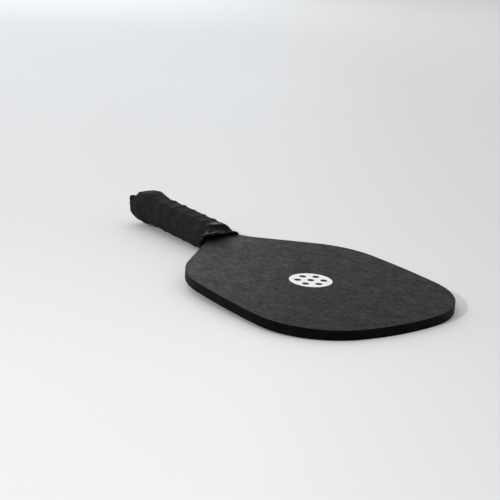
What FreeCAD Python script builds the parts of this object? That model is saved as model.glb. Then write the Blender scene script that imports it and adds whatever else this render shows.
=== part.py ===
import FreeCAD, Part
import math
import os

# A pickleball paddle: a thin sandwich blade whose core and skins run on into the handle as a
# tongue, two half handles glued on the tongue, a flared butt cap, two layers of grip and a
# rubber collar at the throat.
#
# The frame, in millimetres: the origin is the centre of the butt's end face, on the blade's
# middle plane. X runs along the paddle to the blade's tip, Y across it, and Z out of the front.

Vec = FreeCAD.Vector

# ---- blade outline: one half is a chain of tangent arcs, and the other half mirrors it
LENGTH = 406.0
BLADE_HALF_WIDTH = 99.0
CROWN_RADIUS = 206.0
CORNER_RADIUS = 73.0
SIDE_RADIUS = 766.0
WIDEST_X = 300.5
SHOULDER_RADIUS = 82.0
THROAT_ANGLE = math.radians(47.5)
THROAT_RADIUS = 52.0
THROAT_END_X = 118.0

# ---- blade layers, from the middle plane outwards
CORE_THICKNESS = 7.1
FILM_THICKNESS = 0.15
SKIN_THICKNESS = 0.5
CORE_TOP = CORE_THICKNESS / 2
FILM_TOP = CORE_TOP + FILM_THICKNESS
FACE_TOP = FILM_TOP + SKIN_THICKNESS

# ---- the blade's edge
BAND_WIDTH = 0.6
BAND_ROUNDING = 0.25
FOAM_WIDTH = 6.0
EDGE_START_X = 140.0          # the band and the foam wall start under the collar

# ---- honeycomb
CELL_PITCH = 8.0
CELL_WALL = 0.4
CELL_MARGIN = 0.5

# ---- printed mark: a plain perforated ball
MARK_CENTRE = (283.0, -2.0)
MARK_RADIUS = 19.0
MARK_DEPTH = 0.1
MARK_HOLE_RADIUS = 3.1
MARK_HOLE_RING = 11.5
MARK_HOLE_COUNT = 6

# ---- handle: an octagon with rounded corners
HANDLE_WIDTH = 26.4
HANDLE_DEPTH = 22.8
HANDLE_CHAMFER = 6.0
HANDLE_ROUNDING = 2.5
CHAMFER_GROWTH = 2 - math.sqrt(2)
CORNER_SETBACK = math.tan(math.radians(22.5))
RAMP_START_X = 132.0
RAMP_END_X = 141.0
RAMP_END_HEIGHT = 0.5

# ---- the flare at the butt, as growth of the handle on each side
FLARE_FULL_X = 14.0
FLARE_END_X = 29.0
FLARE_STEPS = 6
FLARE_SIDE = 2.8
FLARE_FACE = 0.8

# ---- butt cap
CAP_EDGE = 0.4
CAP_END_WALL = 2.5
CAP_BEVEL = 0.8
CAP_END_X = FLARE_FULL_X + (FLARE_END_X - FLARE_FULL_X) * (FLARE_STEPS - 1) / FLARE_STEPS
BADGE_RADIUS = 8.5
BADGE_DEPTH = 0.6
STAPLE_X = 9.0
STAPLE_WIRE = 0.6
STAPLE_SPAN = 8.0
STAPLE_LEG = 5.0

# ---- grips
GRIP_START_X = 0.5
BASE_GRIP_THICKNESS = 1.4
BASE_GRIP_END_X = 117.0
TAPE_WIDTH = 11.0
TAPE_THICKNESS = 0.15
OVERGRIP_THICKNESS = 0.95
OVERGRIP_END_X = 129.5
SQUEEZE_START_X = 126.0       # the collar squeezes the overgrip's end
SQUEEZE_END_X = 128.0
SQUEEZED_THICKNESS = 0.45

# ---- collar: X, width, depth, chamfer and corner rounding of its outside
COLLAR_WALL = 1.1
COLLAR_SECTIONS = (
    (128.0, 32.3, 28.7, 7.7, 5.4),
    (133.5, 34.5, 28.7, 7.7, 5.4),
    (140.0, 44.0, 21.8, 6.3, 4.4),
    (147.2, 53.0, 15.6, 4.6, 3.6),
)
EXPOSED_START_X = 148.0       # the faces are free from here to the tip

TONGUE_HALF_WIDTH = HANDLE_WIDTH / 2 + BAND_WIDTH


# ---------------------------------------------------------------- basic shapes

def box(x_low, x_high, y_low, y_high, z_low, z_high):
    corner = Vec(x_low, y_low, z_low)
    return Part.makeBox(x_high - x_low, y_high - y_low, z_high - z_low, corner)


def cylinder(x, y, radius, z_low, z_high):
    return Part.makeCylinder(radius, z_high - z_low, Vec(x, y, z_low))


def arc(centre, start, end):
    radius = (start - centre).Length
    chord_side = (start + end) * 0.5 - centre
    return Part.Arc(start, centre + chord_side.normalize() * radius, end).toShape()


def line(start, end):
    return Part.LineSegment(start, end).toShape()


def to_back(shape):
    return shape.mirror(Vec(0, 0, 0), Vec(0, 0, 1))


# ---------------------------------------------------------------- blade outline

def corner_centre(crown, side):
    """Centre of the corner arc, which touches the crown arc and the side arc from inside."""
    reach_crown = CROWN_RADIUS - CORNER_RADIUS
    reach_side = SIDE_RADIUS - CORNER_RADIUS
    apart = side - crown
    along = (reach_crown**2 - reach_side**2 + apart.Length**2) / (2 * apart.Length)
    across = math.sqrt(reach_crown**2 - along**2)
    unit = Vec(apart).normalize()
    return crown + unit * along + Vec(-unit.y, unit.x, 0) * across


def shoulder_centre(throat, side, normal, direction):
    """Centre of the shoulder arc, which touches the side arc and the straight throat line."""
    foot = throat - normal * (THROAT_RADIUS + SHOULDER_RADIUS)
    offset = foot - side
    along = offset.dot(direction)
    reach = SIDE_RADIUS - SHOULDER_RADIUS
    step = -along + math.sqrt(along**2 - offset.dot(offset) + reach**2)
    return foot + direction * step


def half_outline(inset):
    """Points and centres of the +Y half, from the crown to the tongue, moved inwards by inset."""
    crown = Vec(LENGTH - CROWN_RADIUS, 0, 0)
    side = Vec(WIDEST_X, BLADE_HALF_WIDTH - SIDE_RADIUS, 0)
    throat = Vec(THROAT_END_X, TONGUE_HALF_WIDTH + THROAT_RADIUS, 0)
    normal = Vec(-math.sin(THROAT_ANGLE), math.cos(THROAT_ANGLE), 0)
    direction = Vec(math.cos(THROAT_ANGLE), math.sin(THROAT_ANGLE), 0)
    corner = corner_centre(crown, side)
    shoulder = shoulder_centre(throat, side, normal, direction)
    throat_radius = THROAT_RADIUS + inset
    crown_end = crown + (corner - crown).normalize() * (CROWN_RADIUS - inset)
    side_start = side + (corner - side).normalize() * (SIDE_RADIUS - inset)
    side_end = side + (shoulder - side).normalize() * (SIDE_RADIUS - inset)
    shoulder_end = shoulder + normal * (SHOULDER_RADIUS - inset)
    throat_start = throat - normal * throat_radius
    throat_end = throat - Vec(0, throat_radius, 0)
    points = [crown_end, side_start, side_end, shoulder_end, throat_start, throat_end]
    return points, [corner, side, shoulder, None, throat]


def blade_face(inset):
    """The blade with its tongue, flat on the middle plane, moved inwards by inset."""
    points, centres = half_outline(inset)
    points.append(Vec(CAP_END_WALL, points[-1].y, 0))
    centres.append(None)
    upper = []
    for start, end, centre in zip(points, points[1:], centres):
        upper.append(line(start, end) if centre is None else arc(centre, start, end))
    lower = [edge.mirror(Vec(0, 0, 0), Vec(0, 1, 0)) for edge in upper]
    mirrored = [Vec(point.x, -point.y, 0) for point in points]
    crown = Part.Arc(mirrored[0], Vec(LENGTH - inset, 0, 0), points[0]).toShape()
    butt = line(points[-1], mirrored[-1])
    wire = Part.Wire(Part.__sortEdges__([crown] + upper + [butt] + lower))
    return Part.Face(wire)


def blade_slab(inset, z_low, z_high, x_low=CAP_END_WALL, x_high=LENGTH):
    """A layer of the blade between two heights and two places along it."""
    face = blade_face(inset)
    face.translate(Vec(0, 0, z_low))
    slab = face.extrude(Vec(0, 0, z_high - z_low))
    reach = BLADE_HALF_WIDTH + 1
    return slab.common(box(x_low, x_high, -reach, reach, z_low - 1, z_high + 1))


# ---------------------------------------------------------------- blade parts

def core_outline():
    """Full width in the handle and the throat, and inside the foam wall in the blade."""
    tongue = blade_slab(BAND_WIDTH, 0, 1, CAP_END_WALL, EDGE_START_X)
    panel = blade_slab(BAND_WIDTH + FOAM_WIDTH, 0, 1, EDGE_START_X, LENGTH)
    whole = tongue.fuse(panel).removeSplitter()
    floor = min(whole.Faces, key=lambda face: face.CenterOfMass.z)
    return floor.OuterWire


def hexagon(x, y):
    radius = (CELL_PITCH - CELL_WALL) / math.sqrt(3)
    corners = []
    for index in range(7):
        angle = math.radians(30 + 60 * index)
        corners.append(Vec(x + radius * math.cos(angle), y + radius * math.sin(angle), 0))
    return Part.makePolygon(corners)


def cell_centres(outline):
    """Centres of the whole cells that fit inside the outline."""
    region = Part.Face(outline)
    clearance = CELL_PITCH / math.sqrt(3) + CELL_MARGIN
    row_step = CELL_PITCH * math.sqrt(3) / 2
    rows = int(BLADE_HALF_WIDTH / row_step)
    columns = int(LENGTH / CELL_PITCH)
    centres = []
    for row in range(-rows, rows + 1):
        shift = CELL_PITCH / 2 * (row % 2)
        for column in range(columns + 1):
            centre = Vec(column * CELL_PITCH + shift, row * row_step, 0)
            inside = region.isInside(centre, 1e-6, True)
            if inside and outline.distToShape(Part.Vertex(centre))[0] > clearance:
                centres.append(centre)
    return centres


def make_honeycomb_core():
    outline = core_outline()
    cells = [hexagon(centre.x, centre.y) for centre in cell_centres(outline)]
    face = Part.makeFace([outline] + cells, "Part::FaceMakerCheese")
    core = face.extrude(Vec(0, 0, CORE_THICKNESS))
    core.translate(Vec(0, 0, -CORE_TOP))
    return core


def make_edge_foam():
    outer = blade_slab(BAND_WIDTH, -CORE_TOP, CORE_TOP, EDGE_START_X)
    inner = blade_slab(BAND_WIDTH + FOAM_WIDTH, -CORE_TOP, CORE_TOP, EDGE_START_X)
    return outer.cut(inner)


def make_bond_film():
    return blade_slab(BAND_WIDTH, CORE_TOP, FILM_TOP)


def make_mark():
    """A disc of ink with a middle hole and a ring of holes, flush with the face."""
    x, y = MARK_CENTRE
    base = FACE_TOP - MARK_DEPTH
    mark = cylinder(x, y, MARK_RADIUS, base, FACE_TOP)
    mark = mark.cut(cylinder(x, y, MARK_HOLE_RADIUS, base - 1, FACE_TOP + 1))
    for index in range(MARK_HOLE_COUNT):
        angle = 2 * math.pi * index / MARK_HOLE_COUNT
        hole_x = x + MARK_HOLE_RING * math.cos(angle)
        hole_y = y + MARK_HOLE_RING * math.sin(angle)
        mark = mark.cut(cylinder(hole_x, hole_y, MARK_HOLE_RADIUS, base - 1, FACE_TOP + 1))
    return mark


def make_skin():
    """The face sheet. Its free face and the part under the handle are two faces of one plane."""
    bonded = blade_slab(BAND_WIDTH, FILM_TOP, FACE_TOP, CAP_END_WALL, EXPOSED_START_X)
    free = blade_slab(BAND_WIDTH, FILM_TOP, FACE_TOP, EXPOSED_START_X, LENGTH)
    return bonded.fuse(free.cut(make_mark()))


def make_edge_band():
    outer = blade_slab(0, -FACE_TOP, FACE_TOP, EDGE_START_X)
    rim = []
    for edge in outer.Edges:
        flat = abs(edge.BoundBox.ZLength) < 1e-6
        if flat and edge.BoundBox.XMax > EDGE_START_X + 1e-3:
            rim.append(edge)
    outer = outer.makeFillet(BAND_ROUNDING, rim)
    return outer.cut(blade_slab(BAND_WIDTH, -FACE_TOP - 1, FACE_TOP + 1, EDGE_START_X - 1))


# ---------------------------------------------------------------- handle sections

def octagon(x, width, depth, chamfer, rounding):
    """A rounded octagon across the handle at x, as sixteen edges in a fixed order."""
    a = width / 2
    b = depth / 2
    corners = [(a, b - chamfer), (a - chamfer, b), (chamfer - a, b), (-a, b - chamfer),
               (-a, chamfer - b), (chamfer - a, -b), (a - chamfer, -b), (a, chamfer - b)]
    corners = [Vec(x, y, z) for y, z in corners]
    setback = rounding * CORNER_SETBACK
    bulge = rounding * (1 / math.cos(math.radians(22.5)) - 1)
    starts, middles, ends = [], [], []
    for index, corner in enumerate(corners):
        before = (corners[index - 1] - corner).normalize()
        after = (corners[(index + 1) % 8] - corner).normalize()
        starts.append(corner + before * setback)
        ends.append(corner + after * setback)
        middles.append(corner + (before + after).normalize() * bulge)
    edges = []
    for index in range(8):
        edges.append(Part.Arc(starts[index], middles[index], ends[index]).toShape())
        edges.append(line(ends[index], starts[(index + 1) % 8]))
    return Part.Wire(edges)


def flare(x):
    """1 at the butt, falling smoothly to 0 where the flare ends."""
    step = (x - FLARE_FULL_X) / (FLARE_END_X - FLARE_FULL_X)
    step = min(max(step, 0), 1)
    return 1 - step * step * (3 - 2 * step)


def handle_section(x, growth, flare_side=0.0, flare_face=0.0):
    """The handle's octagon grown by growth on every side, and by the flare near the butt."""
    side = growth + flare_side * flare(x)
    face = growth + flare_face * flare(x)
    mean = (side + face) / 2
    chamfer = HANDLE_CHAMFER + CHAMFER_GROWTH * mean
    width = HANDLE_WIDTH + 2 * side
    return octagon(x, width, HANDLE_DEPTH + 2 * face, chamfer, HANDLE_ROUNDING + mean)


def flare_stations(x_start, x_end):
    """Places for the sections of a flared sleeve."""
    step = (FLARE_END_X - FLARE_FULL_X) / FLARE_STEPS
    inner = [FLARE_FULL_X + step * index for index in range(FLARE_STEPS + 1)]
    return [x_start] + [x for x in inner if x_start < x < x_end] + [x_end]


def loft(sections):
    return Part.makeLoft(sections, True, True)


def handle_bar(x_start, x_end):
    """The bare handle: the tongue with both half handles on it."""
    return loft([handle_section(x_start, 0), handle_section(x_end, 0)])


def grip_form(growth, x_end):
    """Outside of a grip layer that is growth thick over the handle and over the cap."""
    side = FLARE_SIDE + CAP_EDGE
    face = FLARE_FACE + CAP_EDGE
    stations = flare_stations(GRIP_START_X, x_end)
    return loft([handle_section(x, growth, side, face) for x in stations])


# ---------------------------------------------------------------- handle parts

def make_handle_pallet():
    """A half handle on the front of the tongue, with a ramp down to the face at the throat."""
    reach = HANDLE_WIDTH
    profile = [(CAP_END_WALL, FACE_TOP), (CAP_END_WALL, HANDLE_DEPTH), (RAMP_START_X, HANDLE_DEPTH),
               (RAMP_START_X, HANDLE_DEPTH / 2), (RAMP_END_X, FACE_TOP + RAMP_END_HEIGHT),
               (RAMP_END_X, FACE_TOP), (CAP_END_WALL, FACE_TOP)]
    wire = Part.makePolygon([Vec(x, -reach, z) for x, z in profile])
    side_view = Part.Face(wire).extrude(Vec(0, 2 * reach, 0))
    pallet = handle_bar(CAP_END_WALL, RAMP_END_X).common(side_view)
    return pallet.cut(make_staples())


def cap_form():
    """Outside of the butt cap, with a small bevel round its end face."""
    sections = [handle_section(0, CAP_EDGE - CAP_BEVEL, FLARE_SIDE, FLARE_FACE)]
    for x in flare_stations(CAP_BEVEL, CAP_END_X):
        sections.append(handle_section(x, CAP_EDGE, FLARE_SIDE, FLARE_FACE))
    return loft(sections)


def badge_disc():
    return Part.makeCylinder(BADGE_RADIUS, BADGE_DEPTH, Vec(0, 0, 0), Vec(1, 0, 0))


def make_staple():
    """A staple through the cap's front wall, with its crown flush with the cap."""
    top = HANDLE_DEPTH / 2 + CAP_EDGE + FLARE_FACE
    x_low = STAPLE_X - STAPLE_WIRE / 2
    x_high = STAPLE_X + STAPLE_WIRE / 2
    reach = STAPLE_SPAN / 2
    whole = box(x_low, x_high, -reach, reach, top - STAPLE_WIRE - STAPLE_LEG, top)
    inside = reach - STAPLE_WIRE
    gap = box(x_low - 1, x_high + 1, -inside, inside, 0, top - STAPLE_WIRE)
    return whole.cut(gap)


def make_staples():
    staple = make_staple()
    return Part.makeCompound([staple, to_back(staple)])


def make_butt_cap():
    cap = cap_form().cut(handle_bar(CAP_END_WALL, CAP_END_X + 1))
    return cap.cut(badge_disc()).cut(make_staples())


def tape_ring():
    """Finishing tape let into the upper end of the base grip."""
    x_start = BASE_GRIP_END_X - TAPE_WIDTH
    sections = [x_start, BASE_GRIP_END_X]
    outer = loft([handle_section(x, BASE_GRIP_THICKNESS) for x in sections])
    inner = BASE_GRIP_THICKNESS - TAPE_THICKNESS
    return outer.cut(loft([handle_section(x, inner) for x in sections]))


def make_base_grip():
    grip = grip_form(BASE_GRIP_THICKNESS, BASE_GRIP_END_X)
    grip = grip.cut(cap_form()).cut(handle_bar(CAP_END_WALL, BASE_GRIP_END_X + 1))
    return grip.cut(tape_ring())


def make_overgrip():
    """The overgrip as a closed sleeve, thinner where the collar squeezes it."""
    full = BASE_GRIP_THICKNESS + OVERGRIP_THICKNESS
    squeezed = BASE_GRIP_THICKNESS + SQUEEZED_THICKNESS
    side = FLARE_SIDE + CAP_EDGE
    face = FLARE_FACE + CAP_EDGE
    stations = flare_stations(GRIP_START_X, SQUEEZE_START_X)
    sections = [handle_section(x, full, side, face) for x in stations]
    sections += [handle_section(x, squeezed) for x in (SQUEEZE_END_X, OVERGRIP_END_X)]
    return loft(sections).cut(grip_form(BASE_GRIP_THICKNESS, OVERGRIP_END_X))


def make_grip_collar():
    """The rubber collar, from the end of the wrap down to the blade at the throat."""
    outer, inner = [], []
    for x, width, depth, chamfer, rounding in COLLAR_SECTIONS:
        outer.append(octagon(x, width, depth, chamfer, rounding))
        inner_chamfer = chamfer - CHAMFER_GROWTH * COLLAR_WALL
        inner.append(octagon(x, width - 2 * COLLAR_WALL, depth - 2 * COLLAR_WALL,
                             inner_chamfer, rounding - COLLAR_WALL))
    return loft(outer).cut(loft(inner))


# ---------------------------------------------------------------- output

def main():
    skin = make_skin()
    film = make_bond_film()
    mark = make_mark()
    pallet = make_handle_pallet()
    parts = {
        "honeycomb_core": make_honeycomb_core(),
        "edge_foam": make_edge_foam(),
        "front_bond_film": film,
        "back_bond_film": to_back(film),
        "front_skin": skin,
        "back_skin": to_back(skin),
        "edge_band": make_edge_band(),
        "front_mark": mark,
        "back_mark": to_back(mark),
        "front_handle_pallet": pallet,
        "back_handle_pallet": to_back(pallet),
        "butt_cap": make_butt_cap(),
        "butt_cap_staples": make_staples(),
        "butt_badge": badge_disc(),
        "base_grip": make_base_grip(),
        "base_grip_tape": tape_ring(),
        "overgrip": make_overgrip(),
        "grip_collar": make_grip_collar(),
    }
    os.makedirs("parts", exist_ok=True)
    for name, shape in parts.items():
        shape.exportStep(os.path.join("parts", name + ".step"))
        print(name, "valid", shape.isValid(), "solids", len(shape.Solids),
              "volume", round(shape.Volume / 1000, 3), "cm3")


main()
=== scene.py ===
import math

import bpy
import numpy as np
from mathutils import Matrix, Vector


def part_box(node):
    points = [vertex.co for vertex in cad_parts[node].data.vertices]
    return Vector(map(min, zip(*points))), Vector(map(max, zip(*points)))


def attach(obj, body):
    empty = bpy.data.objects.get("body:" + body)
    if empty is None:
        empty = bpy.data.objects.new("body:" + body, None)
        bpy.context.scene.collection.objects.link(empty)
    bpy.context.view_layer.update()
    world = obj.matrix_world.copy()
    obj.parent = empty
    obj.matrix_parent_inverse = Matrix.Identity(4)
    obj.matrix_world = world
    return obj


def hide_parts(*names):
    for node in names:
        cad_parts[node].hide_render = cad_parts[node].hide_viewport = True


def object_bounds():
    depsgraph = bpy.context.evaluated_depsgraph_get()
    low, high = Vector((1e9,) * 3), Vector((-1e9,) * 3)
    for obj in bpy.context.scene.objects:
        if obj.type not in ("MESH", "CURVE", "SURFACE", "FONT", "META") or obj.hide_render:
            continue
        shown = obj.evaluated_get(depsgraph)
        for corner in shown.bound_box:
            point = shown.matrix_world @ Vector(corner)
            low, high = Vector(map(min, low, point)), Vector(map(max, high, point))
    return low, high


# A pickleball paddle. The row frame: X from the butt to the blade's tip, Y across the blade,
# Z out of the front face, in metres. The blade, the cap and the hidden parts are CAD nodes with
# materials made here. The two wound grips and the rubber collar are modelled here, in place of
# their plain CAD nodes.

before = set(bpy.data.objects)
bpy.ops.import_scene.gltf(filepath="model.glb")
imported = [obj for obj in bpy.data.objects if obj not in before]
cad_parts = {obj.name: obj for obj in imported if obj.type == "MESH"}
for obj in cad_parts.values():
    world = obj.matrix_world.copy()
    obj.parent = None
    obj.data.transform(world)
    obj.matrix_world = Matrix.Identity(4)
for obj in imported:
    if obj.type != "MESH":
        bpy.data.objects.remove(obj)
cad_low, cad_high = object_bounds()

FACE_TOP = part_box("front_skin")[1][2]


# ---------------------------------------------------------------- camera, light and floor

CAMERA_AZIMUTH = math.radians(53.84)
CAMERA_ELEVATION = math.radians(16.81)
CAMERA_ROLL = math.radians(-3.93)
CAMERA_AIM = Vector((0.188, 0.0, FACE_TOP))
CAMERA_DISTANCE = 1.3096
CAMERA_LENS = 102.27                  # in millimetres, like the sensor
CAMERA_SENSOR = 36.0

FLOOR_HALF_SIZE = 6.0
FLOOR_NEAR = -0.3                     # painted shade, where less light falls, greys the floor from here, seen from the aim, back to here, and out to here on the right
FLOOR_FAR = 2.0                       # back to here,
FLOOR_ASIDE = 0.27                    # and out to here on the right
KEY_ELEVATION = math.radians(27)
KEY_FROM_LEFT = math.radians(48)      # round from the left towards the camera
KEY_DISTANCE = 3.2
KEY_SIZE = 0.12
KEY_POWER = 43.0
PANEL_ELEVATION = math.radians(18)
PANEL_FROM_BACK = math.radians(14)    # round from behind the paddle towards the left
PANEL_DISTANCE = 3.0
PANEL_SIZE = 1.4
PANEL_POWER = 10.2
WORLD_COLOUR = (0.985, 0.99, 1.0, 1.0)
WORLD_DIM = 0.36                      # behind the camera, low down
WORLD_BRIGHT = 0.98                   # behind the paddle, up and to the left
WORLD_FORWARD = 0.8                   # parts of the way to its bright side, as the camera sees it
WORLD_LEFT = 0.45
WORLD_UP = 0.5
WORLD_DIM_COSINE = -0.7               # of the angle from that way, where the world is dimmest
WORLD_BRIGHT_COSINE = 0.9             # and where it is brightest


def make_camera():
    """The camera, at its azimuth from -Y towards the tip, looking down at the aim and rolled."""
    back = Vector((math.sin(CAMERA_AZIMUTH) * math.cos(CAMERA_ELEVATION),
                   -math.cos(CAMERA_AZIMUTH) * math.cos(CAMERA_ELEVATION),
                   math.sin(CAMERA_ELEVATION)))
    data = bpy.data.cameras.new("camera")
    data.lens = CAMERA_LENS
    data.sensor_width = CAMERA_SENSOR
    camera = bpy.data.objects.new("camera", data)
    bpy.context.scene.collection.objects.link(camera)
    level = (-back).to_track_quat("-Z", "Y").to_matrix()
    turn = level @ Matrix.Rotation(-CAMERA_ROLL, 3, "Z")
    camera.matrix_world = Matrix.Translation(CAMERA_AIM + back * CAMERA_DISTANCE) @ turn.to_4x4()
    bpy.context.scene.camera = camera
    return camera


def floor_axes(camera, slope):
    """Right, forward and up of the floor that the paddle lies on, seen from the camera."""
    up = Vector((-math.sin(slope), 0.0, math.cos(slope)))
    forward = camera.matrix_world.to_3x3() @ Vector((0, 0, -1))
    forward = (forward - up * forward.dot(up)).normalized()
    return forward.cross(up).normalized(), forward, up


def make_floor(right, forward, point):
    """A square of floor round the point."""
    corners = [point + right * (a * FLOOR_HALF_SIZE) + forward * (b * FLOOR_HALF_SIZE)
               for a, b in ((-1, -1), (1, -1), (1, 1), (-1, 1))]
    mesh = bpy.data.meshes.new("floor")
    mesh.from_pydata(corners, [], [(0, 1, 2, 3)])
    floor = bpy.data.objects.new("floor", mesh)
    bpy.context.scene.collection.objects.link(floor)
    floor.data.materials.append(floor_material(right, forward))


def area_light(name, place, aim, size, power):
    """A square light that the camera doesn't see."""
    data = bpy.data.lights.new(name, "AREA")
    data.shape = "SQUARE"
    data.size = size
    data.energy = power
    light = bpy.data.objects.new(name, data)
    bpy.context.scene.collection.objects.link(light)
    turn = (aim - place).to_track_quat("-Z", "Y").to_matrix().to_4x4()
    light.matrix_world = Matrix.Translation(place) @ turn
    light.visible_camera = False


def make_lights(right, forward, up, aim):
    """A small key light from the left and a wide panel low behind the paddle."""
    side = -right * math.cos(KEY_FROM_LEFT) - forward * math.sin(KEY_FROM_LEFT)
    key = side * math.cos(KEY_ELEVATION) + up * math.sin(KEY_ELEVATION)
    area_light("key_light", aim + key * KEY_DISTANCE, aim, KEY_SIZE, KEY_POWER)
    panel = forward * math.cos(PANEL_FROM_BACK) - right * math.sin(PANEL_FROM_BACK)
    panel = panel * math.cos(PANEL_ELEVATION) + up * math.sin(PANEL_ELEVATION)
    area_light("panel_light", aim + panel * PANEL_DISTANCE, aim, PANEL_SIZE, PANEL_POWER)


def make_world(right, forward, up):
    """A pale studio round the paddle, brighter towards one side."""
    bright_side = (forward * WORLD_FORWARD - right * WORLD_LEFT + up * WORLD_UP).normalized()
    world = bpy.data.worlds.new("studio")
    world.use_nodes = True
    nodes, links = world.node_tree.nodes, world.node_tree.links
    background = nodes["Background"]
    background.inputs["Color"].default_value = WORLD_COLOUR
    towards = nodes.new("ShaderNodeTexCoord").outputs["Generated"]
    dot = nodes.new("ShaderNodeVectorMath")
    dot.operation = "DOT_PRODUCT"
    dot.inputs[1].default_value = bright_side
    span = nodes.new("ShaderNodeMapRange")
    span.inputs["From Min"].default_value = WORLD_DIM_COSINE
    span.inputs["From Max"].default_value = WORLD_BRIGHT_COSINE
    span.inputs["To Min"].default_value = WORLD_DIM
    span.inputs["To Max"].default_value = WORLD_BRIGHT
    links.new(towards, dot.inputs[0])
    links.new(dot.outputs["Value"], span.inputs["Value"])
    links.new(span.outputs["Result"], background.inputs["Strength"])
    bpy.context.scene.world = world


# ---------------------------------------------------------------- materials

MIX_FACTOR, MIX_FIRST, MIX_SECOND = 0, 6, 7     # a Mix node's inputs for colours
MIX_RESULT = 2                                  # and its output


class Shader:
    """A material on one Principled shader, with short calls for the nodes used here.

    Lengths are in metres. A ramp's stops are pairs of a position and a colour.
    """

    def __init__(self, name, colour, roughness, **sockets):
        self.material = bpy.data.materials.new(name)
        self.material.use_nodes = True
        self.nodes = self.material.node_tree.nodes
        self.links = self.material.node_tree.links
        self.bsdf = self.nodes["Principled BSDF"]
        self.set("Base Color", (*colour, 1.0))
        self.set("Roughness", roughness)
        for socket, value in sockets.items():
            self.set(socket.replace("_", " "), value)
        self.place = self.nodes.new("ShaderNodeTexCoord").outputs["Object"]

    def set(self, socket, value):
        self.bsdf.inputs[socket].default_value = value

    def stretched(self, scale):
        """The place with each axis scaled, so that a low scale draws a pattern out."""
        node = self.nodes.new("ShaderNodeMapping")
        node.inputs["Scale"].default_value = scale
        self.links.new(self.place, node.inputs["Vector"])
        return node.outputs["Vector"]

    def noise(self, size, detail=4.0, roughness=0.55, vector=None, distortion=0.0):
        """Noise whose features are about size metres across."""
        node = self.nodes.new("ShaderNodeTexNoise")
        node.inputs["Scale"].default_value = 1.0 / size
        node.inputs["Detail"].default_value = detail
        node.inputs["Roughness"].default_value = roughness
        node.inputs["Distortion"].default_value = distortion
        self.links.new(vector or self.place, node.inputs["Vector"])
        return node.outputs["Fac"]

    def cells(self, size):
        """Distance from the middle of cells about size metres across."""
        node = self.nodes.new("ShaderNodeTexVoronoi")
        node.inputs["Scale"].default_value = 1.0 / size
        self.links.new(self.place, node.inputs["Vector"])
        return node.outputs["Distance"]

    def span(self, value, low, high, to_low, to_high):
        """The value, mapped from low and high to to_low and to_high."""
        node = self.nodes.new("ShaderNodeMapRange")
        node.inputs["From Min"].default_value = low
        node.inputs["From Max"].default_value = high
        node.inputs["To Min"].default_value = to_low
        node.inputs["To Max"].default_value = to_high
        self.links.new(value, node.inputs["Value"])
        return node.outputs["Result"]

    def math(self, operation, a, b):
        node = self.nodes.new("ShaderNodeMath")
        node.operation = operation
        for index, value in enumerate((a, b)):
            if isinstance(value, (int, float)):
                node.inputs[index].default_value = value
            else:
                self.links.new(value, node.inputs[index])
        return node.outputs[0]

    def weighed(self, first, share, second):
        """Two values in one, with this share of the first."""
        return self.math("ADD", self.math("MULTIPLY", first, share),
                         self.math("MULTIPLY", second, 1 - share))

    def ramp(self, value, *stops):
        node = self.nodes.new("ShaderNodeValToRGB")
        elements = node.color_ramp.elements
        while len(elements) < len(stops):
            elements.new(0.5)
        for element, (position, colour) in zip(elements, stops):
            element.position = position
            element.color = (*colour, 1.0)
        self.links.new(value, node.inputs["Fac"])
        return node.outputs["Color"]

    def along(self, direction, origin=(0.0, 0.0, 0.0)):
        """How far the place is from the origin along a direction."""
        offset = self.nodes.new("ShaderNodeVectorMath")
        offset.operation = "SUBTRACT"
        offset.inputs[1].default_value = origin
        self.links.new(self.place, offset.inputs[0])
        node = self.nodes.new("ShaderNodeVectorMath")
        node.operation = "DOT_PRODUCT"
        node.inputs[1].default_value = direction
        self.links.new(offset.outputs["Vector"], node.inputs[0])
        return node.outputs["Value"]

    def mix(self, factor, first, second_colour):
        """A colour that runs from the first to the second as the factor runs from 0 to 1."""
        node = self.nodes.new("ShaderNodeMix")
        node.data_type = "RGBA"
        self.links.new(factor, node.inputs[MIX_FACTOR])
        self.links.new(first, node.inputs[MIX_FIRST])
        node.inputs[MIX_SECOND].default_value = (*second_colour, 1.0)
        return node.outputs[MIX_RESULT]

    def drive(self, socket, output):
        """Let an output set one of the shader's sockets."""
        self.links.new(output, self.bsdf.inputs[socket])

    def tone(self, value, *stops):
        """Let the value run the colour over the stops."""
        self.drive("Base Color", self.ramp(value, *stops))

    def bump(self, height, distance, strength):
        """Raise the surface by the height, over any bump that it has."""
        node = self.nodes.new("ShaderNodeBump")
        node.inputs["Distance"].default_value = distance
        node.inputs["Strength"].default_value = strength
        previous = self.bsdf.inputs["Normal"]
        if previous.is_linked:
            self.links.new(previous.links[0].from_socket, node.inputs["Normal"])
        self.links.new(height, node.inputs["Height"])
        self.links.new(node.outputs["Normal"], previous)


def grey(value, tint=0.0):
    """A neutral colour, a little warmer for a positive tint."""
    return (value * (1 + tint), value, value * (1 - tint))


def floor_material(right, forward):
    """Pale paper with painted shade: it greys a little towards the back and towards the right, where
    less light falls.
    """
    shader = Shader("floor_paper_painted_falloff", grey(0.84), 0.85)
    behind = shader.span(shader.along(forward, CAMERA_AIM), FLOOR_NEAR, FLOOR_FAR, 0.0, 1.0)
    # painted shade: the floor's colour darkens away from the lamps, towards the back and the right
    paper = shader.ramp(behind, (0.0, grey(0.85, 0.004)), (0.2, grey(0.785, -0.010)),
                        (0.62, grey(0.79, -0.02)), (0.95, grey(0.72, -0.025)))
    # painted shade: darker still towards the right, where less light falls
    aside = shader.span(shader.along(right, CAMERA_AIM), 0.0, FLOOR_ASIDE, 0.0, 1.0)
    shader.drive("Base Color", shader.mix(aside, paper, grey(0.715, 0.004)))
    return shader.material


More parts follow.
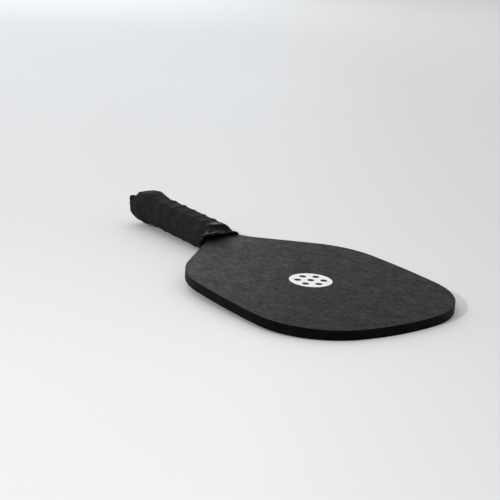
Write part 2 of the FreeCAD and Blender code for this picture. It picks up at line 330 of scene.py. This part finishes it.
def face_material():
    """Charcoal fibre laminate: soft blotches, a finer mottle and a fine satin grain."""
    shader = Shader("face_laminate", grey(0.02), 0.39, Specular_IOR_Level=0.03)
    blotch = shader.noise(0.013, detail=5.0, roughness=0.62)
    mottle = shader.noise(0.0042, detail=4.0, roughness=0.62, distortion=0.5)
    grain = shader.noise(0.0009, detail=3.0, roughness=0.7)
    mix = shader.weighed(blotch, 0.40, mottle)
    shader.tone(shader.weighed(mix, 0.75, grain),
                (0.34, grey(0.0025)), (0.48, grey(0.0075, 0.01)), (0.66, grey(0.020, 0.02)))
    shader.drive("Roughness", shader.span(mix, 0.35, 0.65, 0.51, 0.315))
    shader.bump(grain, distance=0.00008, strength=0.7)
    shader.bump(mottle, distance=0.00022, strength=0.6)
    return shader.material


def band_material():
    """Black edge band with fine streaks across the paddle."""
    shader = Shader("band_black", grey(0.003), 0.46, Specular_IOR_Level=0.03)
    streak = shader.noise(0.0016, detail=3.0, roughness=0.6, vector=shader.stretched((1.0, 1.0, 7.0)))
    shader.drive("Roughness", shader.span(streak, 0.3, 0.7, 0.40, 0.58))
    shader.tone(shader.noise(0.012), (0.35, grey(0.0014)), (0.7, grey(0.0040)))
    shader.bump(streak, distance=0.00005, strength=0.6)
    return shader.material


def ink_material():
    """White ink, with the laminate's grain showing through and a few worn specks."""
    shader = Shader("mark_white", grey(0.82), 0.5)
    wear = shader.noise(0.0009, detail=3.0, roughness=0.65)
    shader.tone(wear, (0.24, grey(0.42)), (0.33, grey(0.80)), (0.8, grey(0.86)))
    shader.bump(shader.noise(0.0007, detail=3.0, roughness=0.6), distance=0.00005, strength=0.6)
    return shader.material


def overgrip_material():
    """Tacky black tape: a felt-like grain, dusty high spots and a soft sheen."""
    shader = Shader("overgrip_tape", grey(0.012), 0.78, Specular_IOR_Level=0.05)
    cloud = shader.noise(0.009, detail=4.0, roughness=0.6)
    fibre = shader.noise(0.0008, detail=3.0, roughness=0.7)
    shader.tone(shader.weighed(cloud, 0.5, fibre),
                (0.34, grey(0.005)), (0.5, grey(0.012, 0.01)), (0.66, grey(0.027, 0.03)))
    shader.drive("Roughness", shader.span(cloud, 0.3, 0.7, 0.60, 0.92))
    shader.bump(shader.noise(0.0030, detail=3.0, roughness=0.6), distance=0.0005, strength=0.8)
    shader.bump(fibre, distance=0.00016, strength=0.8)
    shader.bump(shader.cells(0.0013), distance=0.00008, strength=0.5)
    return shader.material


def base_grip_material():
    """Cushioned black tape with small pores."""
    shader = Shader("base_grip_cushion", grey(0.02), 0.6)
    shader.tone(shader.noise(0.004), (0.3, grey(0.012)), (0.7, grey(0.028)))
    shader.bump(shader.cells(0.0016), distance=0.0001, strength=0.7)
    return shader.material


def collar_material():
    """Stretched rubber: deep black, glossy, with faint stretch lines along the paddle."""
    shader = Shader("collar_rubber", grey(0.002), 0.19, Specular_IOR_Level=0.062)
    stretch = shader.noise(0.0022, detail=4.0, roughness=0.6, vector=shader.stretched((0.25, 1.0, 1.0)))
    shader.drive("Roughness", shader.span(shader.noise(0.005), 0.3, 0.7, 0.15, 0.24))
    shader.tone(stretch, (0.3, grey(0.001)), (0.75, grey(0.003)))
    shader.bump(stretch, distance=0.00022, strength=0.22)
    shader.bump(shader.noise(0.0005), distance=0.00002, strength=0.4)
    return shader.material


def cap_material():
    """Moulded black plastic with a fine grain."""
    shader = Shader("cap_moulded", grey(0.014), 0.5)
    shader.tone(shader.noise(0.006), (0.3, grey(0.010)), (0.7, grey(0.019)))
    shader.bump(shader.cells(0.0006), distance=0.00005, strength=0.8)
    return shader.material


def badge_material():
    """A blank dark sticker under a thin clear coat."""
    shader = Shader("badge_blank", grey(0.05), 0.3, Coat_Weight=0.6, Coat_Roughness=0.12)
    shader.tone(shader.noise(0.002), (0.3, grey(0.035)), (0.7, grey(0.07)))
    shader.drive("Roughness", shader.span(shader.noise(0.001), 0.3, 0.7, 0.22, 0.4))
    return shader.material


PAINT_START = 0.1325                  # painted shade: the half handles are black from here on, in the shadowed gap under the collar
PAINT_EDGE = 0.001                    # over which the painted shade sets in
PAINT_WANDER = 0.002                  # how far its edge follows the grain


def wood_material():
    """Sanded wood, with painted shade: black where its ramp shows in the shadowed gap under the collar.
    """
    shader = Shader("handle_wood", (0.56, 0.38, 0.20), 0.6, Specular_IOR_Level=0.2)
    grain = shader.noise(0.0022, detail=5.0, roughness=0.6, vector=shader.stretched((0.06, 1.0, 1.0)))
    wood = shader.ramp(grain, (0.3, (0.40, 0.25, 0.12)), (0.7, (0.66, 0.47, 0.27)))
    wander = shader.math("MULTIPLY", grain, PAINT_WANDER)
    place = shader.math("ADD", shader.along((1, 0, 0)), wander)
    # painted shade: the ramp under the collar's lip is blackened where it lies in shadow
    painted = shader.span(place, PAINT_START, PAINT_START + PAINT_EDGE, 0.0, 1.0)
    shader.drive("Base Color", shader.mix(painted, wood, grey(0.004)))
    shader.bump(grain, distance=0.00008, strength=0.6)
    return shader.material


def honeycomb_material():
    shader = Shader("core_plastic", (0.68, 0.70, 0.68), 0.45, Subsurface_Weight=0.05)
    shader.tone(shader.noise(0.01), (0.3, (0.60, 0.62, 0.60)), (0.7, (0.74, 0.76, 0.74)))
    return shader.material


def foam_material():
    shader = Shader("core_foam", grey(0.03), 0.9)
    shader.tone(shader.noise(0.001), (0.3, grey(0.02)), (0.7, grey(0.05)))
    shader.bump(shader.cells(0.0005), distance=0.0001, strength=0.8)
    return shader.material


def film_material():
    shader = Shader("bond_film", (0.5, 0.40, 0.2), 0.35)
    shader.tone(shader.noise(0.004), (0.3, (0.42, 0.32, 0.15)), (0.7, (0.58, 0.47, 0.25)))
    return shader.material


def tape_material():
    shader = Shader("finishing_tape", grey(0.02), 0.4)
    shader.tone(shader.noise(0.003), (0.3, grey(0.014)), (0.7, grey(0.028)))
    return shader.material


def steel_material():
    shader = Shader("staple_steel", grey(0.6), 0.3, Metallic=1.0)
    shader.drive("Roughness", shader.span(shader.noise(0.0006), 0.3, 0.7, 0.22, 0.42))
    return shader.material


def paint_nodes(material, *names):
    """Give CAD nodes a material."""
    for name in names:
        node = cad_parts[name]
        node.data.materials.clear()
        node.data.materials.append(material)


# ---------------------------------------------------------------- handle shape

CHAMFER = 0.0060                      # the bare handle's chamfer, measured along each side
CORNER_SHARPNESS = 26                 # the higher, the crisper the octagon's corners


def extent(name):
    """Where a CAD node starts and ends along X, its half width and its half height."""
    low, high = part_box(name)
    return low[0], high[0], high[1], high[2]


base_start, base_end, base_butt_side, base_butt_face = extent("base_grip")
_, _, tape_side, tape_face = extent("base_grip_tape")
_, over_end, _, _ = extent("overgrip")
collar_start, _, collar_side, collar_face = extent("grip_collar")
handle_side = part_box("front_handle_pallet")[1][1]
handle_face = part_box("front_handle_pallet")[1][2]

BASE_THICKNESS = tape_side - handle_side
FLARE_SIDE = base_butt_side - tape_side
FLARE_FACE = base_butt_face - tape_face
FLARE_FULL_X = 0.014                  # the flare has its whole height up to here
FLARE_END_X = 0.029                   # and is gone from here on


def smooth_step(value):
    """An eased rise from 0 to 1."""
    value = np.clip(value, 0.0, 1.0)
    return value * value * (3 - 2 * value)


def octagon_radius(angle, side, face, chamfer, sharpness=CORNER_SHARPNESS):
    """Distance from the axis to a soft-cornered octagon, with angle 0 towards +Y."""
    across = np.abs(np.cos(angle))
    through = np.abs(np.sin(angle))
    terms = (across / side) ** sharpness + (through / face) ** sharpness
    terms = terms + ((across + through) / (side + face - chamfer)) ** sharpness
    return terms ** (-1.0 / sharpness)


def handle_radius(x, angle, growth):
    """The handle's outside at x, grown by growth, and by the flare near the butt."""
    flare = 1 - smooth_step((x - FLARE_FULL_X) / (FLARE_END_X - FLARE_FULL_X))
    side = handle_side + growth + FLARE_SIDE * flare
    face = handle_face + growth + FLARE_FACE * flare
    mean = growth + (FLARE_SIDE + FLARE_FACE) / 2 * flare
    return octagon_radius(angle, side, face, CHAMFER + (2 - math.sqrt(2)) * mean)


def ring_points(x, radius, angle):
    """Points at x and at a radius from the axis, with angle 0 towards +Y."""
    return np.stack([x + 0 * angle, radius * np.cos(angle), radius * np.sin(angle)], axis=-1)


def mesh_object(name, points, faces, material):
    """A smooth-shaded piece that rides on the paddle."""
    mesh = bpy.data.meshes.new(name)
    mesh.from_pydata([tuple(point) for point in points], [], faces)
    mesh.validate()
    mesh.polygons.foreach_set("use_smooth", [True] * len(mesh.polygons))
    mesh.update()
    piece = bpy.data.objects.new(name, mesh)
    bpy.context.scene.collection.objects.link(piece)
    piece.data.materials.append(material)
    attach(piece, "root")
    return piece


def wave(angle, count, phase):
    """A wave of height 1 that goes so many times round the handle."""
    return np.sin(count * angle + phase)


# ---------------------------------------------------------------- wound grips

TURN_STEPS = 144                      # mesh steps in one turn of tape
WIDTH_STEPS = 22                      # mesh steps across the tape
TAPE_START_ANGLE = math.radians(250)  # both tapes start under the handle
TAPE_START_SHARE = 0.12               # of the width, at the trimmed start
TAPE_START_TURNS = 0.3                # in which the trimmed start grows by a whole width
TAPE_END = 0.0014                     # width left at the tape's trimmed end
TAPE_LATE_TURNS = 0.35                # the pitch eases in over about this many turns
TAPE_DRIFT = 0.00035                  # how far the turns stray from an even pitch
TAPE_DRIFT_RATE = 2.1                 # radians in a turn
TAPE_DRIFT_PHASE = 0.6
TAPE_STEP_DOWN = 0.0024               # in which a turn comes down from the edge of the one before
TAPE_EDGE_SHARE = 0.14                # of the thickness, at the skived edges
TAPE_GAP = 0.00003                    # under the tape
SPACING_EVENNESS = 0.18               # the higher, the less its mesh steps crowd at the edges
ROUNDING = 1e-6                       # slack when places are compared
OVERGRIP_WIDTH = 0.0255
OVERGRIP_PITCH = 0.0178               # each turn overlaps the one before by the rest of the width
OVERGRIP_THICKNESS = 0.0008
OVERGRIP_GAP = 0.00002                # over the outside of the CAD base grip
OVERGRIP_STRAIGHT_TURNS = 0.9
OVERGRIP_BEVEL = 0.0058
BASE_WIDTH = 0.0240                   # wound edge to edge, after first turns that overlap
BASE_SEAM = 0.0003                    # its even pitch leaves this between turns
BASE_CLEARANCE = 0.0002               # it is this much thinner than the CAD base grip
BASE_BEVEL = 0.0012


class Tape:
    """A tape wound round the handle from the butt, each turn lying on the one before."""

    def __init__(self, name, rests_on, width, pitch, thickness, growth, start, end, straight, bevel):
        self.name = name
        self.rests_on = rests_on
        self.width = width
        self.pitch = pitch
        self.thickness = thickness
        self.growth = growth          # of the surface that it is wound on
        self.start = start
        self.end = end
        self.straight = straight      # turns wound square to the handle at the butt
        self.bevel = bevel            # width of its skived butt-side edge, twice the other one's

    def advance(self, turn):
        """How far along the handle the tape's butt-side edge is after so many turns."""
        late = max(turn - self.straight, 0.0)
        eased = late * late / (late + TAPE_LATE_TURNS) if late else 0.0
        drift = TAPE_DRIFT * math.sin(TAPE_DRIFT_RATE * turn + TAPE_DRIFT_PHASE)
        return self.start + self.pitch * eased + (drift if late else 0.0)

    def length_in_turns(self):
        """Turns until the tape's butt-side edge is all but at its end."""
        turn = 0.0
        while self.advance(turn) < self.end - TAPE_END:
            turn += 1.0 / TURN_STEPS
        return turn

    def profile(self, across):
        """The tape's thickness at each place across it, thinner at its skived edges."""
        butt_edge = smooth_step(across * self.width / self.bevel)
        far_edge = smooth_step((1 - across) * self.width / (0.5 * self.bevel))
        share = TAPE_EDGE_SHARE + (1 - TAPE_EDGE_SHARE) * np.minimum(butt_edge, far_edge)
        return self.thickness * share

    def spacing(self):
        """Places across the tape from 0 to 1, closer together at its edges."""
        swing = np.cos(math.pi * np.linspace(0, 1, WIDTH_STEPS + 1))
        return 0.5 - 0.5 * swing * (1 - SPACING_EVENNESS + SPACING_EVENNESS * swing ** 2)

    def wind(self):
        """Angles, and for each step the places along X and the inner and outer growth."""
        total = int(self.length_in_turns() * TURN_STEPS)
        across = self.spacing()
        angles, places, inner, outer = [], [], [], []
        for step in range(total + 1):
            turn = step / TURN_STEPS
            edge = self.advance(turn)
            width = self.width * min(1.0, TAPE_START_SHARE + turn / TAPE_START_TURNS)
            width = max(min(width, self.end - edge), TAPE_END)
            x = edge + across * width
            angle = TAPE_START_ANGLE + 2 * math.pi * turn
            below = np.full_like(x, self.growth)
            if step >= TURN_STEPS:
                last_x = places[step - TURN_STEPS]
                last_top = outer[step - TURN_STEPS]
                under = np.interp(x, last_x, last_top)
                gone = smooth_step((x - last_x[-1]) / TAPE_STEP_DOWN)
                covered = x >= last_x[0] - ROUNDING
                below = np.where(covered, under * (1 - gone) + self.growth * gone, below)
                below = np.maximum(below, self.growth)
            angles.append(angle)
            places.append(x)
            inner.append(below + TAPE_GAP)
            outer.append(below + TAPE_GAP + self.profile(across))
        return np.array(angles), np.array(places), np.array(inner), np.array(outer)

    def build(self, material, shape):
        """The tape as a piece, with the shape giving the radius and X of each place on it."""
        angles, places, inner, outer = self.wind()
        rows, columns = places.shape
        angle_grid = np.repeat(angles[:, None], columns, axis=1)
        points = []
        for growth in (inner, outer):
            radius, x = shape(places, angle_grid, growth)
            points.append(ring_points(x, radius, angle_grid).reshape(-1, 3))
        piece = mesh_object(self.name, np.concatenate(points), ribbon_faces(rows, columns), material)
        return piece


def ribbon_faces(rows, columns):
    """Faces of a closed ribbon: an inner and an outer grid of points, joined round the rim."""
    outer = rows * columns
    faces = []
    for row in range(rows - 1):
        for column in range(columns - 1):
            a = row * columns + column
            b = a + columns
            faces.append((a, a + 1, b + 1, b))
            faces.append((outer + a, outer + b, outer + b + 1, outer + a + 1))
        for a in (row * columns, (row + 1) * columns - 1):
            b = a + columns
            side = (a, b, outer + b, outer + a)
            faces.append(side if a == row * columns else side[::-1])
    for column in range(columns - 1):
        for a in (column, (rows - 1) * columns + column):
            side = (a, outer + a, outer + a + 1, a + 1)
            faces.append(side if a == column else side[::-1])
    return faces


FOLD_ANGLE = 150                      # in degrees, where the wrap's edge curls up at the butt
FOLD_SPREAD = 11                      # in degrees
FOLD_HEIGHT = 0.0044
FOLD_X = 0.0003                       # its middle along the handle
FOLD_REACH = 0.0017
PUCKER_ANGLE = 172                    # a smaller pucker lower down
PUCKER_SPREAD = 6
PUCKER_HEIGHT = 0.0006
DENT_ANGLE = 134                      # the dent beside the curl
DENT_SPREAD = 9
DENT_DEPTH = 0.0032
DENT_X = 0.0017
DENT_REACH = 0.0028
RIM_EASE = 0.0006                     # the wrap's edge is drawn in this much at the butt
RIM_REACH = 0.0018
SQUEEZE = 0.0010                      # and its other end is squeezed this much by the collar,
SQUEEZE_START = 0.0045                # from this far before it
SQUEEZE_LENGTH = 0.0025               # and over this length
RIPPLES = ((5, 310, 0.00009),         # waves round the handle, radians of twist in a metre, height
           (9, -520, 0.00006))
EDGE_WAVES = ((3, 0.5, 0.0004),       # waves round the handle, phase, and shift along X at the butt
              (7, 2.0, 0.0003))
EDGE_WAVES_REACH = 0.0022


def gap(angle, middle):
    """Signed angle from middle, within half a turn."""
    return np.arctan2(np.sin(angle - middle), np.cos(angle - middle))


def bulge(angle, middle, spread):
    """A smooth bump of height 1 round the handle, with its middle and spread in degrees."""
    return np.exp(-(gap(angle, math.radians(middle)) / math.radians(spread)) ** 2)


def swell(x, middle, reach, power=2):
    """A smooth bump of height 1 along the handle, flatter on top for a higher even power."""
    return np.exp(-((x - middle) / reach) ** power)


def overgrip_shape(x, angle, growth):
    """Radius and X of places on the overgrip: ripples, and a curl, a pucker and a dent at the butt."""
    radius = handle_radius(x, angle, growth)
    for waves, twist, height in RIPPLES:
        radius = radius + height * wave(angle, waves, twist * x)
    curl = FOLD_HEIGHT * bulge(angle, FOLD_ANGLE, FOLD_SPREAD)
    pucker = PUCKER_HEIGHT * bulge(angle, PUCKER_ANGLE, PUCKER_SPREAD)
    radius = radius + (curl + pucker) * swell(x, FOLD_X, FOLD_REACH, 4)
    radius = radius - DENT_DEPTH * bulge(angle, DENT_ANGLE, DENT_SPREAD) * swell(x, DENT_X, DENT_REACH)
    radius = radius - RIM_EASE * swell(x, 0.0, RIM_REACH)
    radius = radius - SQUEEZE * smooth_step((x - over_end + SQUEEZE_START) / SQUEEZE_LENGTH)
    at_edge = swell(x, 0.0, EDGE_WAVES_REACH)
    for waves, phase, shift in EDGE_WAVES:
        x = x + shift * at_edge * wave(angle, waves, phase)
    return radius, np.maximum(x, 0.0)


def base_grip_shape(x, angle, growth):
    """Radius and X of places on the base grip, which follows the handle."""
    return handle_radius(x, angle, growth), x


def make_overgrip():
    tape = Tape("overgrip_tape", rests_on="base_grip_wrap", width=OVERGRIP_WIDTH, pitch=OVERGRIP_PITCH,
                thickness=OVERGRIP_THICKNESS, growth=BASE_THICKNESS + OVERGRIP_GAP, start=base_start,
                end=over_end, straight=OVERGRIP_STRAIGHT_TURNS, bevel=OVERGRIP_BEVEL)
    piece = tape.build(overgrip_material(), overgrip_shape)
    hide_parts("overgrip")
    return piece


def make_base_grip():
    tape = Tape("base_grip_wrap", rests_on="front_handle_pallet", width=BASE_WIDTH,
                pitch=BASE_WIDTH + BASE_SEAM, thickness=BASE_THICKNESS - BASE_CLEARANCE, growth=0.0,
                start=base_start, end=base_end, straight=0.0, bevel=BASE_BEVEL)
    piece = tape.build(base_grip_material(), base_grip_shape)
    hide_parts("base_grip")


# ---------------------------------------------------------------- rubber collar

COLLAR_RING_STEPS = 288               # round the paddle
RAMP_STEPS = 40                       # from the rear edge to the lip
BEAD_STEPS = 14                       # round the lip's bead
COLLAR_WALL = 0.0011
COLLAR_SHARPNESS = 8                  # its octagon is rounder than the grip's
REAR_SETBACK = 0.0003                 # the rear edge is rolled this far towards the blade
REAR_RISE = 0.0006                    # of the rear edge's faces over the crest
REAR_TUCK = 0.0004                    # its sides are drawn in by this
CREST_X = 0.1338                      # where the ramp down to the lip starts
CREST_SIDE = handle_side + 0.0037     # half width there
CREST_CHAMFER = 0.0076
RAMP_SIDE_POWER = 1.15                # over 1, the sides open slowly at first
RAMP_FACE_POWER = 1.7                 # over 1, the faces fall fast at first
RAMP_SHORT = 0.8                      # bead radii from the ramp's end to the bead's middle
LIP_X = 0.1442                        # on the middle line
LIP_SKEW = 0.0025                     # the lip is this much further on at the near side
LIP_RIPPLE = 0.00025                  # its edge waves this much along X
LIP_RIPPLE_WAVES = 3                  # round the collar
LIP_RIPPLE_PHASE = 0.8
LIP_FACE = 0.0102                     # height of the bead over the mid-plane, on the near side
LIP_DROP = 0.0026                     # it is this much lower on the far side
LIP_PROUD = 0.0010                    # of the bead over the foot of the ramp, on the near side
LIP_PROUD_FAR = 0.6                   # share of that on the far side
LIP_SIDE_NEAR = collar_side + 0.0010  # half width of the lip, without its bead
LIP_SIDE_FAR = 0.0232
LIP_CHAMFER = 0.0046
BEAD_NEAR = 0.0021                    # radius of the bead, on the near side
BEAD_FAR = 0.0014                     # and on the far side, where it is stretched
BEAD_STRETCH = 1.4                    # it is this much longer along the paddle than it is high
BEAD_SWEEP = math.pi + 0.25           # from the ramp round to the inside
INSIDE_SETBACK = 0.0002               # the inside is set this far towards the butt
INSIDE_SKIP = 2                       # it has a ring for every second ring of the outside
CREASES = ((7, 5.5, 0.0, 0.00016),    # waves round the collar, radians of twist along it, phase, height
           (13, -4.0, 1.3, 0.00007))
CREASE_POWER = 0.8                    # under 1, the creases reach further towards both ends
SHOULDERS = ((160, 9, 1.0),           # middle and spread in degrees, and share of the height
             (147, 6, -0.7),
             (203, 9, 0.6))
SHOULDER_HEIGHT = 0.00065
SHOULDER_START = 0.35                 # shares of the way from the rear edge to the lip
SHOULDER_LENGTH = 0.5


def side_share(angle):
    """0 on the far side of the collar, +Y, and 1 on the near side, where it is loose."""
    return smooth_step(0.5 - 0.5 * np.cos(angle))


def lip_proud(angle):
    """How far the lip's bead stands over the foot of the ramp."""
    return LIP_PROUD * (LIP_PROUD_FAR + (1 - LIP_PROUD_FAR) * side_share(angle))


def collar_section(x, angle, lip_x):
    """Radius of the collar's outside at x: the grip's octagon first, then a ramp down to the lip."""
    near = side_share(angle)
    down = np.clip((x - CREST_X) / (lip_x - CREST_X), 0.0, 1.0)
    rear = np.clip((CREST_X - x) / (CREST_X - collar_start), 0.0, 1.0)
    lip_side = LIP_SIDE_FAR * (1 - near) + LIP_SIDE_NEAR * near
    side = CREST_SIDE + (lip_side - CREST_SIDE) * down ** RAMP_SIDE_POWER - REAR_TUCK * rear ** 2
    foot = LIP_FACE - LIP_DROP * (1 - near) - lip_proud(angle)
    face = foot + (collar_face - foot) * (1 - down) ** RAMP_FACE_POWER + REAR_RISE * rear
    chamfer = CREST_CHAMFER + (LIP_CHAMFER - CREST_CHAMFER) * down
    return octagon_radius(angle, side, face, chamfer, COLLAR_SHARPNESS)


def collar_creases(x, angle, lip_x):
    """Height of the soft creases round the collar, and of the puckers at its near shoulders."""
    along = np.clip((x - collar_start) / (lip_x - collar_start), 0.0, 1.0)
    creases = sum(height * wave(angle, waves, twist * along + phase)
                  for waves, twist, phase, height in CREASES)
    shoulder = sum(share * bulge(angle, middle, spread) for middle, spread, share in SHOULDERS)
    shoulder = SHOULDER_HEIGHT * shoulder * smooth_step((along - SHOULDER_START) / SHOULDER_LENGTH)
    return creases * np.sin(math.pi * along) ** CREASE_POWER + shoulder


def outward(ring):
    """Unit normals of a closed ring, in its own plane across the paddle."""
    along = np.roll(ring, -1, axis=0) - np.roll(ring, 1, axis=0)
    normal = np.stack([0 * along[:, 0], along[:, 2], -along[:, 1]], axis=-1)
    return normal / np.linalg.norm(normal, axis=1, keepdims=True)


def collar_rings(angle):
    """Rings that run along the outside, round the lip's bead and back inside."""
    lip_x = LIP_X - LIP_SKEW * np.cos(angle)
    lip_x = lip_x + LIP_RIPPLE * wave(angle, LIP_RIPPLE_WAVES, LIP_RIPPLE_PHASE)
    bead_x = lip_x - BEAD_STRETCH * BEAD_NEAR
    rear_x = collar_start + REAR_SETBACK
    ramp_end_x = bead_x - RAMP_SHORT * BEAD_NEAR
    rings = []
    for step in range(RAMP_STEPS + 1):
        x = rear_x + (ramp_end_x - rear_x) * (step / RAMP_STEPS)
        outside = collar_section(x, angle, lip_x) + collar_creases(x, angle, lip_x)
        rings.append(ring_points(x, outside, angle))

    lip = collar_section(lip_x, angle, lip_x) + collar_creases(bead_x, angle, lip_x)
    lip_ring = ring_points(bead_x, lip, angle)
    normal = outward(lip_ring)
    bead = BEAD_FAR + (BEAD_NEAR - BEAD_FAR) * side_share(angle)
    for step in range(BEAD_STEPS + 1):
        turn = BEAD_SWEEP * (0.5 - step / BEAD_STEPS)
        rise = lip_proud(angle) - bead + bead * math.sin(turn)
        ring = lip_ring + normal * rise[:, None]
        ring[:, 0] += BEAD_STRETCH * bead * math.cos(turn)
        rings.append(ring)

    for step in range(RAMP_STEPS, -1, -INSIDE_SKIP):
        inside = rings[step] - outward(rings[step]) * COLLAR_WALL
        inside[:, 0] -= INSIDE_SETBACK
        rings.append(inside)
    return rings


def loop_faces(rings, steps):
    """Faces of a closed loop of closed rings, each with so many points."""
    faces = []
    for ring in range(rings):
        here = ring * steps
        there = (ring + 1) % rings * steps
        for step in range(steps):
            after = (step + 1) % steps
            faces.append((here + step, here + after, there + after, there + step))
    return faces


def make_collar():
    angle = np.linspace(0, 2 * math.pi, COLLAR_RING_STEPS, endpoint=False)
    rings = collar_rings(angle)
    faces = loop_faces(len(rings), COLLAR_RING_STEPS)
    piece = mesh_object("rubber_collar", np.concatenate(rings), faces, collar_material())
    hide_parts("grip_collar")


# ---------------------------------------------------------------- the scene

def paint_cad():
    paint_nodes(face_material(), "front_skin", "back_skin")
    paint_nodes(band_material(), "edge_band")
    paint_nodes(ink_material(), "front_mark", "back_mark")
    paint_nodes(honeycomb_material(), "honeycomb_core")
    paint_nodes(foam_material(), "edge_foam")
    paint_nodes(film_material(), "front_bond_film", "back_bond_film")
    paint_nodes(wood_material(), "front_handle_pallet", "back_handle_pallet")
    paint_nodes(cap_material(), "butt_cap")
    paint_nodes(badge_material(), "butt_badge")
    paint_nodes(steel_material(), "butt_cap_staples")
    paint_nodes(tape_material(), "base_grip_tape")


def resting_slope(grip, tip):
    """Slope of a floor that touches the tip and the wrap, which it meets just behind the collar.

    The collar isn't counted, and its underside reaches about 0.5 mm into the floor.
    """
    places = np.empty(3 * len(grip.data.vertices))
    grip.data.vertices.foreach_get("co", places)
    x, _, z = places.reshape(-1, 3).T
    return math.atan(np.max((tip.z - z) / (tip.x - x)))


paint_cad()
make_base_grip()
overgrip = make_overgrip()
make_collar()

camera = make_camera()
tip = Vector((cad_high[0], 0.0, -FACE_TOP))
right, forward, up = floor_axes(camera, resting_slope(overgrip, tip))
make_floor(right, forward, tip)
make_lights(right, forward, up, CAMERA_AIM)
make_world(right, forward, up)
bpy.context.scene.view_settings.view_transform = "Standard"
